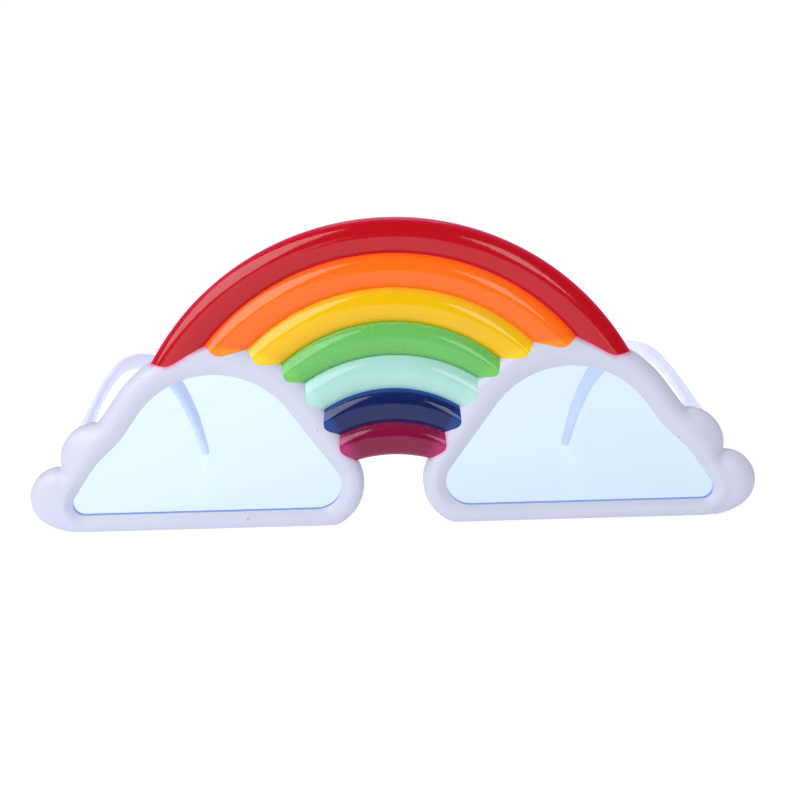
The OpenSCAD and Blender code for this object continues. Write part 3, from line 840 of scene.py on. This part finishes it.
def overspray_and_painted_light(tree, place, colour, upper, lower, ends, fade):
    """The band's mottled colour with those of its borders and its ends laid over it."""
    mottle = add(tree, "ShaderNodeTexNoise", {
        "Vector": place, "Scale": 1 / (MOTTLE_PATCH * MM), "Detail": 4.0})
    deep = [c * DEEP_SHARE for c in linear(colour)[:3]] + [1]
    shade = add(tree, "ShaderNodeMixRGB", {
        "Fac": mottle.outputs["Fac"], "Color1": linear(colour), "Color2": deep})
    droplets = add(tree, "ShaderNodeTexNoise", {
        "Vector": place, "Scale": 1 / (DROPLET_SIZE * MM), "Detail": 2.0})
    across = add(tree, "ShaderNodeAttribute", attribute_name="across")
    ragged = add(tree, "ShaderNodeMath", {
        0: droplets.outputs["Fac"], 1: RAGGED_BORDER, 2: across.outputs["Fac"]},
        operation="MULTIPLY_ADD")
    to_end = add(tree, "ShaderNodeAttribute", attribute_name="to_end")
    torn = add(tree, "ShaderNodeMath", {
        0: droplets.outputs["Fac"], 1: RAGGED_END, 2: to_end.outputs["Fac"]},
        operation="MULTIPLY_ADD")
    # the ends' brighter shade is a painted highlight on the rounded band ends
    end_highlight_span = (END_INSET + fade, END_INSET - END_OVERLAP)
    # border shades: neighbour overspray on some bands, painted light on the slopes on others
    border_and_end_shades = ((ragged, UPPER_BORDER, upper), (ragged, LOWER_BORDER, lower), (torn, end_highlight_span, ends))
    for distance, (first, full), tint in border_and_end_shades:
        amount = add(tree, "ShaderNodeMapRange", {
            "Value": distance.outputs[0], "From Min": first, "From Max": full, "To Max": OVERSPRAY_AND_LIGHT_STRENGTH})
        shade = add(tree, "ShaderNodeMixRGB", {
            "Fac": amount.outputs[0], "Color1": shade.outputs[0], "Color2": linear(tint)})
    return shade.outputs[0]


print("the ends' colour is full up to", END_INSET - END_OVERLAP, "mm from the hidden tip of a band")

# %% [markdown]
# Enamel is a clear, hard film with an IOR near 1.45, so it mirrors the softboxes in sharp
# stripes while its colour stays deep. Fine waves in the film, orange peel, bend those stripes
# a little, and a few dust grains stick in it. Green holds a fine pearl grain, and on four of
# the bands some pale grain lies along the upper border. The grain is drawn at 0.17 mm, coarser
# than real pearl flakes, so that it still shows from half a metre away.

# %% One recipe for the seven enamels
PEEL_SIZE = 2.2
PEARL_SIZE = 0.17
PEARL_BRIGHT = 0.62
PEARL_FROM = 0.5
DUST_SPACING = 9.0
DUST_SIZE = 0.022


def with_pearl(tree, place, shade, grain, border_grain):
    """Lays pale pearl grain over a colour, more of it towards the upper border."""
    across = add(tree, "ShaderNodeAttribute", attribute_name="across")
    pearl = add(tree, "ShaderNodeTexVoronoi", {
        "Vector": place, "Scale": 1 / (PEARL_SIZE * MM), "Randomness": 1.0})
    amount = add(tree, "ShaderNodeMapRange", {
        "Value": across.outputs["Fac"], "From Min": PEARL_FROM,
        "To Min": grain, "To Max": border_grain})
    bright = add(tree, "ShaderNodeMapRange", {
        "Value": pearl.outputs["Color"], "From Min": PEARL_BRIGHT, "To Max": amount.outputs[0]})
    return add(tree, "ShaderNodeMixRGB", {
        "Fac": bright.outputs[0], "Color1": shade, "Color2": linear("#E9F2C8")}).outputs[0]


def sprayed_enamel(name, colours, grains):
    """Glossy enamel from its colours, with pearl grain where it has any."""
    material, tree, shader = new_material(name)
    place = add(tree, "ShaderNodeTexCoord").outputs["Object"]
    cells = add(tree, "ShaderNodeTexVoronoi", {
        "Vector": place, "Scale": 1 / (DUST_SPACING * MM), "Randomness": 1.0})
    dust = add(tree, "ShaderNodeMath", {0: cells.outputs["Distance"], 1: DUST_SIZE}, operation="LESS_THAN")
    shade = add(tree, "ShaderNodeMixRGB", {
        "Fac": dust.outputs[0], "Color1": overspray_and_painted_light(tree, place, *colours),
        "Color2": linear("#F2E6E4")}).outputs[0]
    if grains:
        shade = with_pearl(tree, place, shade, *grains)
    tree.links.new(shade, shader.inputs["Base Color"])
    shader.inputs["Roughness"].default_value = 0.09
    shader.inputs["IOR"].default_value = 1.44
    peel = add(tree, "ShaderNodeTexNoise", {
        "Vector": place, "Scale": 1 / (PEEL_SIZE * MM), "Detail": 2.0})
    film = add(tree, "ShaderNodeBump", {
        "Height": peel.outputs["Fac"], "Strength": 0.06, "Distance": 0.4 * MM})
    grit = add(tree, "ShaderNodeBump", {
        "Height": dust.outputs[0], "Strength": 0.4, "Distance": 0.06 * MM, "Normal": film.outputs[0]})
    tree.links.new(grit.outputs[0], shader.inputs["Normal"])
    return material


# %% [markdown]
# Each band is then a row of choices: its own colour, the colours at its upper border, its
# lower border and its ends, and over how many millimetres the ends' colour fades. The border
# colours are neighbour overspray on some bands and painted light on the slopes of others, and
# the ends' colour is a painted highlight. A second
# table says how much pearl grain lies on the band and along its upper border.

# %% The seven colours
# fourth colour of each row: painted highlight on the band's ends; navy's lighter blue borders: painted
# light on its slopes
band_colours = {
    "red": ("#B60E1A", "#C01C44", "#C8124A", "#B4102C", 1.0),
    "orange": ("#FC6C16", "#FF5A1E", "#FF8418", "#FF8A10", 1.2),
    "yellow": ("#E8B608", "#F09A20", "#DCB40A", "#E8C81C", 1.5),
    "green": ("#62B65A", "#86B63A", "#429E50", "#66BE48", 1.5),
    "mint": ("#A4D4CB", "#B0DCD0", "#9CCEC8", "#A8D8CE", 1.5),
    "navy": ("#121E54", "#1450A8", "#123C90", "#123C8C", 1.4),
    "magenta": ("#7E0C38", "#7A1550", "#B4286C", "#A8246A", 2.4),
}
pearl_grains = {
    "yellow": (0.0, 0.25),
    "green": (0.14, 0.4),
    "navy": (0.0, 0.08),
    "magenta": (0.0, 0.12),
}
enamels = {
    name: sprayed_enamel("spray_enamel_" + name, shades, pearl_grains.get(name))
    for name, shades in band_colours.items()
}
print("enamels:", len(enamels))

# %% [markdown]
# Now each band is made: its rail goes through the tree, and the result becomes a plain mesh.
# The modifier lives on a helper object, which is removed. The points that stay above the rim
# are kept aside, because the overspray starts from them.

# %% Tree to mesh, and the rim's height under a band
def plain_mesh(name, rail, inputs):
    """Runs a rail through the band tree and returns the evaluated result as a plain mesh."""
    helper = bpy.data.objects.new("helper", rail)
    bpy.context.scene.collection.objects.link(helper)
    modifier = helper.modifiers.new("band", "NODES")
    modifier.node_group = raised_band
    for item in raised_band.interface.items_tree:
        if item.name in inputs and item.in_out == "INPUT":
            modifier[item.identifier] = inputs[item.name]
    graph = bpy.context.evaluated_depsgraph_get()
    mesh = bpy.data.meshes.new_from_object(helper.evaluated_get(graph))
    helper.modifiers.clear()
    bpy.data.objects.remove(helper)
    mesh.name = name
    return mesh


def points_of(mesh):
    """A mesh's points as rows of x, y and z."""
    points = np.zeros(len(mesh.vertices) * 3)
    mesh.vertices.foreach_get("co", points)
    return points.reshape(-1, 3)


def rim_height(x, z):
    """Height of the cloud's face under points of the front, 0 off the cloud."""
    x = np.abs(x)
    gaps = (x[:, None] - opening[None, :, 0]) ** 2 + (z[:, None] - opening[None, :, 1]) ** 2
    nearest = gaps.argmin(1)
    station = opening[nearest]
    out = (x - station[:, 0]) * station[:, 2] + (z - station[:, 1]) * station[:, 3]
    on_rim = (out > 0) & (out < reach[nearest])
    tube = np.minimum(reach[nearest], station[:, 4])
    return np.where(on_rim, cloud_rise(x, z, np.maximum(out, 0), tube), 0)


# %% Make the seven bands
shown = {}
for rail_mesh, colour in zip(rails, enamels):
    mesh = plain_mesh(colour + "_band", rail_mesh, {"Paint": enamels[colour]})
    points = points_of(mesh)
    above = -points[:, 1] > rim_height(points[:, 0], points[:, 2])
    shown[colour] = points[above][:, [0, 2]]
    mesh.vertices.foreach_set("co", stand(points).ravel())
    mesh.shade_smooth()
    band = bpy.data.objects.new(colour + "_band", mesh)
    bpy.context.scene.collection.objects.link(band)
    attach(band, "front")
    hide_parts("rainbow_" + colour)
    print(band.name, len(mesh.polygons), "faces")

# %% [markdown]
# ## The white front
# The white moulding is assembled next, as one object with several closed shells. Its haze is
# strongest right beside the red and magenta bands and dies away within two millimetres. Only
# the outer parts of those bands count, where they end on the clouds. The red spray also wraps
# over the top edge of the plate, thinner towards the back.
#
# The second attribute marks the two rings of points that the lens touches, for the painted blue light on
# the wall.

# %% How much spray lies on the white
OVERSPRAY = {"red": (0.7, 0.85), "magenta": (0.5, 0.5)}
OUTER_SHARE = 0.55
HAZE_DEPTH = 1
EDGE_NEAR = 0.1
EDGE_FADE = 0.7
BATCH = 4000


def haze_at(points):
    """Strength of the overspray on the white, from the distance to red and magenta paint."""
    haze = np.zeros(len(points))
    plan = points[:, [0, 2]]
    for colour, (spread, strength) in OVERSPRAY.items():
        paint = shown[colour]
        paint = paint[np.abs(paint[:, 0]) > OUTER_SHARE * np.abs(paint[:, 0]).max()]
        near = np.full(len(plan), np.inf)
        for start in range(0, len(plan), BATCH):
            part = plan[start:start + BATCH]
            gaps = ((part[:, None, :] - paint[None, :, :]) ** 2).sum(2)
            near[start:start + BATCH] = np.sqrt(gaps.min(1))
        haze = np.maximum(haze, strength * np.exp(-((near / spread) ** 2)))
    haze = np.where(points[:, 1] < HAZE_DEPTH, haze, 0)
    radius, centre = edges[0]
    on_top = np.abs(np.hypot(plan[:, 0], plan[:, 1] - centre) - radius) < EDGE_NEAR
    on_top &= (rim_height(plan[:, 0], plan[:, 1]) == 0) & (plan[:, 1] > hinge_z)
    return np.where(on_top, 1 - EDGE_FADE * points[:, 1] / PLATE_T, haze)


# %% The white front
front_shell = joined([cloud, mirrored(cloud), plate, pad, mirrored(pad), seat, mirrored(seat)])
front = new_piece("front_moulding", front_shell, shell_white)
give(front.data, "haze", haze_at(front_shell[0]))
# lens_wall marks where the wall's painted blue light and glow go
give(front.data, "lens_wall", np.isin(front_shell[0][:, 1], (LENS_FACE, LENS_BACK)))
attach(front, "front")
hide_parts("front_frame")
print("front:", len(front.data.polygons), "faces")

# %% [markdown]
# ## The arms
# An arm is one slim moulding: a taller block at the hinge, a flat oblong run, and a hook that
# bends down and in behind the ear. It is lofted along a smooth line through nine knots. A knot
# says how far back it is, how far it has bent in and how far it has dropped, each as a share of
# the whole, and then the section's height and thickness in millimetres.

# %% The line of an arm
ARM_LENGTH = 134
TIP_IN = 22
TIP_ROUND = 1.4
LINE_STEPS = 14
STOP_GAP = 0.15
FOOT_CUT = 0.3
BLOCK = (5.6, 2.8)
KNUCKLE_RADIUS = 1.4
KNUCKLE_SINK = 0.15
block_x = hinge_x - KNUCKLE_SINK + KNUCKLE_RADIUS + BLOCK[1] / 2
arm_start = RIM_BACK + SEAT_T + STOP_GAP
tip_z = (TIP_ROUND + FOOT_CUT / 2 - ARM_LENGTH * math.sin(lean)) / math.cos(lean)
ARM_KNOTS = [
    (0, 0, 0, *BLOCK),
    (0.07, 0, 0, 5.2, 2.8),
    (0.16, -0.01, -0.003, 4.4, 2.5),
    (0.42, 0.02, -0.015, 3.9, 2.4),
    (0.62, 0.15, -0.01, 4.4, 2.6),
    (0.76, 0.41, 0.09, 5.5, 2.8),
    (0.87, 0.69, 0.35, 5.1, 2.8),
    (0.95, 0.88, 0.68, 4.2, 2.6),
    (1, 1, 1, 2.8, 2.3),
]


def knot_place(share, bend, drop):
    """Where a knot lies on the front's own axes."""
    back = mix(arm_start, ARM_LENGTH, share)
    return block_x - bend * TIP_IN, back, hinge_z - drop * (hinge_z - tip_z)


def smooth_line(points, steps):
    """A smooth curve through the knots, which also carries the section's two sizes."""
    chords = np.linalg.norm(np.diff(points[:, :3], axis=0), axis=1)
    slopes = [np.array([0, 1, 0, 0, 0.0])]
    for k in range(1, len(points) - 1):
        slopes.append((points[k + 1] - points[k - 1]) / (chords[k] + chords[k - 1]))
    slopes.append((points[-1] - points[-2]) / chords[-1])
    rows = []
    for k, chord in enumerate(chords):
        for t in np.arange(steps) / steps:
            u = 1 - t
            rows.append(points[k] * (1 + 2 * t) * u * u + points[k + 1] * (3 - 2 * t) * t * t
                        + chord * (slopes[k] * t * u * u - slopes[k + 1] * t * t * u))
    return np.array(rows + [points[-1]])


placed_knots = np.array([(*knot_place(*knot[:3]), *knot[3:]) for knot in ARM_KNOTS])
arm_line = smooth_line(placed_knots, LINE_STEPS)
print("arm:", len(arm_line), "sections along", round(arm_line[-1, 1] - arm_line[0, 1], 1), "mm")

# %% [markdown]
# Each section is a rounded oblong, square to the line. The first few grow quickly, for a soft
# edge at the hinge end, and the last ones shrink to a round tip. Round the hinge the arm's
# inner side is scooped out, so that it can turn past the front's knuckles.

# %% Loft the arms
BLOCK_EDGE = [(0, 0.5), (0.07, 0.15), (0.25, 0)]
TIP_TURNS = (20, 40, 55, 68, 78, 85)
SQUARENESS = 0.7
SCOOP = 1.65


def arm_section(centre, run, height, thick, sides=40):
    """A rounded oblong ring square to the run."""
    side = np.array([run[1], -run[0], 0]) / math.hypot(run[0], run[1])
    up = np.cross(side, run)
    turn = np.arange(sides) * 2 * math.pi / sides
    flat = np.sign(np.cos(turn)) * np.abs(np.cos(turn)) ** SQUARENESS * thick / 2
    tall = np.sign(np.sin(turn)) * np.abs(np.sin(turn)) ** SQUARENESS * height / 2
    return centre + np.outer(flat, side) + np.outer(tall, up)


def arm_shell():
    """The right arm, from its soft end at the hinge to its round tip."""
    runs = np.gradient(arm_line[:, :3], axis=0)
    runs /= np.linalg.norm(runs, axis=1)[:, None]
    runs[0] = (0, 1, 0)
    first, last = arm_line[0], arm_line[-1]
    rings = []
    for step, less in BLOCK_EDGE:
        rings.append(arm_section(first[:3] + [0, step, 0], runs[0], first[3] - less, first[4] - less))
    rings += [arm_section(row[:3], run, row[3], row[4]) for row, run in zip(arm_line[1:], runs[1:])]
    for turn in np.radians(TIP_TURNS):
        centre = last[:3] + runs[-1] * TIP_ROUND * math.sin(turn)
        rings.append(arm_section(centre, runs[-1], last[3] * math.cos(turn), last[4] * math.cos(turn)))
    points, faces = loft(rings)
    away = points[:, :2] - [hinge_x, hinge_y]
    gap = np.hypot(away[:, 0], away[:, 1])
    push = np.where(gap < SCOOP, SCOOP / np.maximum(gap, ALMOST_ZERO), 1)
    points[:, :2] = [hinge_x, hinge_y] + away * push[:, None]
    return points, faces


right_arm = arm_shell()
for side, shell in (("right", right_arm), ("left", mirrored(right_arm))):
    arm = new_piece(side + "_arm", shell, arm_white, sharp_degrees=60)
    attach(arm, "arm_" + side)
    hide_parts("temple_" + side)
print("arms:", len(right_arm[1]), "faces each")

# %% [markdown]
# ## Lenses
# The lenses are flat sheets of clear polycarbonate with a pale blue dye, cut 1.2 mm thick. A
# glass-like shader with a low roughness does it: light goes through, and the dye takes a
# little red on each pass. Polycarbonate's own IOR is 1.58. The photographed lenses mirror
# little of the room, so a lower one is used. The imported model's own sheets have the right
# shape, so they stay and only get this material.

# %% Dyed polycarbonate
LENS_WAVE = 40
lens_sheet, lens_tree, lens_shader = new_material("polycarbonate_blue_dye")
lens_shader.inputs["Base Color"].default_value = linear("#D7E9F6")
lens_shader.inputs["Roughness"].default_value = 0.02
lens_shader.inputs["IOR"].default_value = 1.2
lens_shader.inputs["Transmission Weight"].default_value = 1.0
lens_place = add(lens_tree, "ShaderNodeTexCoord").outputs["Object"]
lens_wave = add(lens_tree, "ShaderNodeTexNoise", {
    "Vector": lens_place, "Scale": 1 / (LENS_WAVE * MM), "Detail": 1.0})
lens_bump = add(lens_tree, "ShaderNodeBump", {
    "Height": lens_wave.outputs["Fac"], "Strength": 0.02, "Distance": 0.5 * MM})
lens_tree.links.new(lens_bump.outputs[0], lens_shader.inputs["Normal"])
for name in ("lens_left", "lens_right"):
    nodes[name].material_slots[0].material = lens_sheet
print("lenses:", lens_sheet.name)

# %% [markdown]
# ## Hinge metal
# The leaves are stamped from plated steel strip, and the screws are turned. Plating is bright
# but carries the fine lines of the strip's rolling, drawn here about 0.1 mm apart up the leaf
# and ten times as long. The screws have an even, fine grain.

# %% Plated strip and turned screws
def plated_steel(name, colour, grain_mm, roughness):
    """Bright metal with a grain that is grain_mm long in x, y and z."""
    material, tree, shader = new_material(name)
    place = add(tree, "ShaderNodeTexCoord").outputs["Object"]
    scale = tuple(1 / (size * MM) for size in grain_mm)
    drawn = add(tree, "ShaderNodeMapping", {"Vector": place, "Scale": scale})
    lines = add(tree, "ShaderNodeTexNoise", {"Vector": drawn.outputs[0], "Scale": 1.0, "Detail": 4.0})
    tone = add(tree, "ShaderNodeMixRGB", {
        "Fac": lines.outputs["Fac"], "Color1": linear(colour), "Color2": linear("#8E8F94")})
    tree.links.new(tone.outputs[0], shader.inputs["Base Color"])
    shader.inputs["Metallic"].default_value = 1.0
    rough = add(tree, "ShaderNodeMapRange", {
        "Value": lines.outputs["Fac"], "To Min": roughness, "To Max": roughness + 0.2})
    tree.links.new(rough.outputs[0], shader.inputs["Roughness"])
    bump = add(tree, "ShaderNodeBump", {
        "Height": lines.outputs["Fac"], "Strength": 0.15, "Distance": 0.03 * MM})
    tree.links.new(bump.outputs[0], shader.inputs["Normal"])
    return material


strip = plated_steel("nickel_plated_strip", "#D2D2D6", (1.11, 1.11, 0.111), 0.22)
screw_steel = plated_steel("turned_steel_screw", "#BDBDC2", (0.4, 0.4, 0.4), 0.18)
for side in ("left", "right"):
    nodes["hinge_front_" + side].material_slots[0].material = strip
    nodes["hinge_temple_" + side].material_slots[0].material = strip
    nodes["hinge_screw_" + side].material_slots[0].material = screw_steel
print("hinges:", strip.name, "and", screw_steel.name)

# %% [markdown]
# ## Table, light and camera
# The photograph was taken on a white table that is lit until it turns pure white. The table
# matters to the looks: the middle of each band mirrors it, which is why it looks paler than
# the slopes. It glows a little more towards the back and a little less to the right of the
# glasses. In front, at the right, it ends about 27 cm before the glasses, and the dim room
# behind the camera shows dark in the upper slopes. At the left it runs on past the camera.

# %% White table
TABLE_REACH = 3
TABLE_FRONT = -0.34
LEFT_PART_ENDS = (-0.1, -0.03)
GLOW_TO_BACK = {"From Min": 0.0, "From Max": 0.45, "To Min": 0.8, "To Max": 0.92}
FALL_TO_RIGHT = {"From Min": -0.08, "From Max": 0.08, "To Min": 1.0, "To Max": 0.86}
table_material, table_tree, table_shader = new_material("white_table")
table_shader.inputs["Base Color"].default_value = linear("#A8A8AC")
table_shader.inputs["Roughness"].default_value = 0.3
table_shader.inputs["Specular IOR Level"].default_value = 0.1
table_shader.inputs["Emission Color"].default_value = linear("#FAFAFF")
table_place = add(table_tree, "ShaderNodeSeparateXYZ", {
    0: add(table_tree, "ShaderNodeTexCoord").outputs["Object"]})
table_glow = add(table_tree, "ShaderNodeMapRange", {"Value": table_place.outputs["Y"], **GLOW_TO_BACK})
table_fall = add(table_tree, "ShaderNodeMapRange", {"Value": table_place.outputs["X"], **FALL_TO_RIGHT})
table_light = add(table_tree, "ShaderNodeMath", {0: table_glow.outputs[0], 1: table_fall.outputs[0]},
                  operation="MULTIPLY")
table_tree.links.new(table_light.outputs[0], table_shader.inputs["Emission Strength"])
table_plan = [
    (-TABLE_REACH, -TABLE_REACH),
    (LEFT_PART_ENDS[0], -TABLE_REACH),
    (LEFT_PART_ENDS[1], TABLE_FRONT),
    (TABLE_REACH, TABLE_FRONT),
    (TABLE_REACH, TABLE_REACH),
    (-TABLE_REACH, TABLE_REACH),
]
table_mesh = bpy.data.meshes.new("table")
table_mesh.from_pydata([(x, y, 0) for x, y in table_plan], [], [(0, 1, 2, 5), (2, 3, 4, 5)])
table_mesh.materials.append(table_material)
table = bpy.data.objects.new("table", table_mesh)
bpy.context.scene.collection.objects.link(table)
print("table:", 2 * TABLE_REACH, "m wide")

# %% [markdown]
# A large softbox at the left and a narrow one at the right draw the pale stripes on the bands,
# and a lamp overhead draws the thin line on top. The lamps and the camera are all placed in
# the same way: so many degrees round the glasses from the front, so many above the table.

# %% Softboxes and overhead lamp
def face(thing, target, distance, around, above, tip=0):
    """Puts a lamp or a camera at a distance from its target, looking at it, tipped to a side."""
    around, above, tip = (math.radians(angle) for angle in (around, above, tip))
    level = Vector((math.cos(around), math.sin(around), 0))
    ahead = Vector((math.sin(around), -math.cos(around), 0))
    away = ahead * math.cos(above) + Vector((0, 0, math.sin(above)))
    upright = away.cross(level)
    side = level * math.cos(tip) + upright * math.sin(tip)
    up = upright * math.cos(tip) - level * math.sin(tip)
    axes = Matrix((side, up, away)).transposed().to_4x4()
    thing.matrix_world = Matrix.Translation(target + away * distance) @ axes
    bpy.context.scene.collection.objects.link(thing)


def lamp(name, around, above, distance, width, height, brightness):
    """A flat lamp that faces the glasses."""
    light = bpy.data.lights.new(name, "AREA")
    light.shape = "RECTANGLE"
    light.size = width
    light.size_y = height
    light.energy = brightness * math.pi * width * height
    face(bpy.data.objects.new(name, light), Vector((0, shift_y * MM, 0.05)), distance, around, above)
    print(name, round(light.energy, 2), "W")


lamp("softbox_left", around=-38, above=24, distance=0.9, width=0.72, height=0.58, brightness=4.05)
lamp("softbox_right", around=20, above=10, distance=1.4, width=0.28, height=0.5, brightness=4.0)
lamp("overhead", around=170, above=86, distance=1.0, width=0.6, height=0.4, brightness=2.1)

# %% [markdown]
# The room has three faces. What glossy pieces mirror is dim in front and brighter behind the
# glasses. What lights them is brighter from above. And the camera sees it plain white.

# %% The room
MIRRORED = {"From Min": -0.3, "From Max": 0.5, "To Min": 0.05, "To Max": 0.6}
LIGHTING = {"From Min": 0.0, "From Max": 1.0, "To Min": 0.34, "To Max": 0.7}
room = bpy.data.worlds.new("room")
room.use_nodes = True
bpy.context.scene.world = room
room_tree = room.node_tree
direction = add(room_tree, "ShaderNodeSeparateXYZ", {
    0: add(room_tree, "ShaderNodeTexCoord").outputs["Generated"]})
mirrored_room = add(room_tree, "ShaderNodeMapRange", {"Value": direction.outputs["Y"], **MIRRORED})
lighting_room = add(room_tree, "ShaderNodeMapRange", {"Value": direction.outputs["Z"], **LIGHTING})
ray = add(room_tree, "ShaderNodeLightPath").outputs
soft = add(room_tree, "ShaderNodeMix", {
    "Factor": ray["Is Glossy Ray"], "A": lighting_room.outputs[0], "B": mirrored_room.outputs[0]})
strength = add(room_tree, "ShaderNodeMix", {
    "Factor": ray["Is Camera Ray"], "A": soft.outputs[0], "B": 1.0})
background = room_tree.nodes["Background"]
background.inputs["Color"].default_value = linear("#FFFFFF")
room_tree.links.new(strength.outputs["Result"], background.inputs["Strength"])
print("room:", len(room_tree.nodes), "nodes")

# %% [markdown]
# The camera stands about half a metre away, nearly seven degrees above the table and a touch
# to the left of the middle, and it is tipped by 1.4 degrees, as the photograph shows.

# %% Camera
CAMERA_TARGET = Vector((2.19, shift_y, 32.5)) * MM
camera_data = bpy.data.cameras.new("camera")
camera_data.sensor_width = 36
camera_data.lens = 94.46
camera_data.clip_start = 0.01
camera = bpy.data.objects.new("camera", camera_data)
face(camera, CAMERA_TARGET, distance=0.55, around=-1.2, above=6.8, tip=-1.4)
bpy.context.scene.camera = camera
bpy.context.scene.view_settings.view_transform = "Standard"
print("camera at, m:", [round(v, 3) for v in camera.matrix_world.translation])
